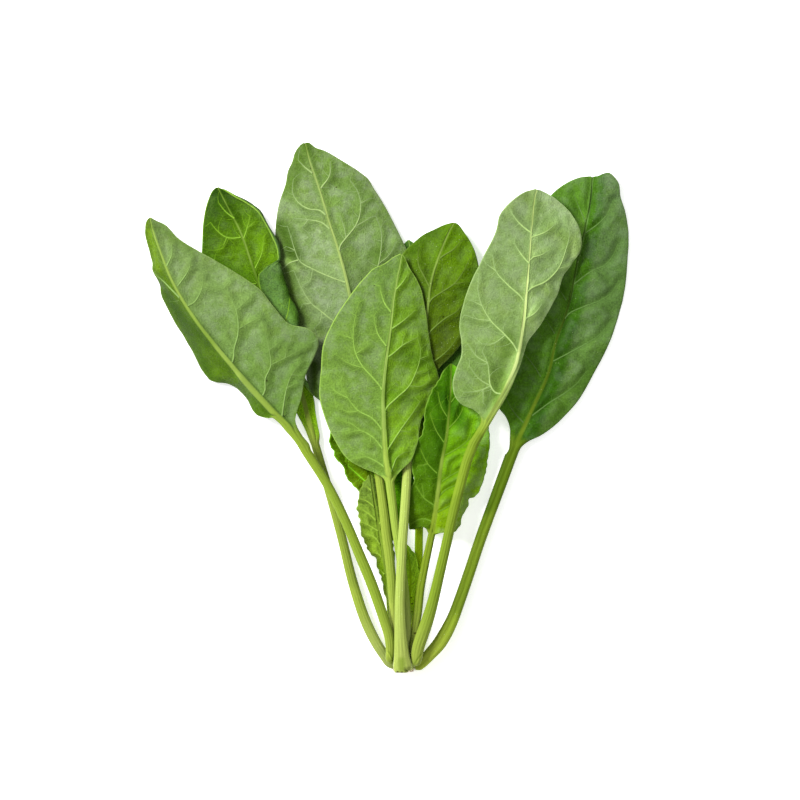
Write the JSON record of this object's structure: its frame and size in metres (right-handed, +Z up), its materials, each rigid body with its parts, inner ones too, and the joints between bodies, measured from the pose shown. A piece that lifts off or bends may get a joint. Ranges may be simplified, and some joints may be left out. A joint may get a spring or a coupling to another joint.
{
  "type": "spinach plant",
  "caption": "Whole spinach plant cut at its root crown and lying flat: long green leaves on ribbed stalks, spread like a fan from one crown.",
  "frame": {"origin": "the middle of the flat spot on the crown's underside, where the plant touches the surface", "axes": "+Z up from the surface, +Y from the crown towards the leaf tips, +X to the right of the fan seen from above"},
  "size_m": [0.2428, 0.2652, 0.02],
  "materials": {
    "crown": "pale cut root tissue, cream and green",
    "leaf_underside_pale": "satin leaf, pale green underside",
    "leaf_underside": "satin leaf, mid-green underside",
    "leaf_underside_deep": "satin leaf, deeper green underside",
    "leaf_upper": "glossy leaf, green upper side",
    "leaf_upper_deep": "satin leaf, dark green upper side"
  },
  "bodies": {
    "root": {"root_crown": "crown", "leaf_front_left": "leaf_underside", "leaf_back_left": "leaf_underside_deep", "leaf_back_tall": "leaf_underside_pale", "leaf_front_middle": "leaf_underside", "leaf_low_right": "leaf_upper", "leaf_front_right": "leaf_underside_pale", "leaf_back_middle": "leaf_underside_deep", "leaf_back_right": "leaf_upper_deep", "leaf_small_crinkled": "leaf_underside", "leaf_low_left": "leaf_upper", "leaf_under_middle": "leaf_upper_deep", "leaf_inner_curled": "leaf_upper"}
  },
  "joints": []
}
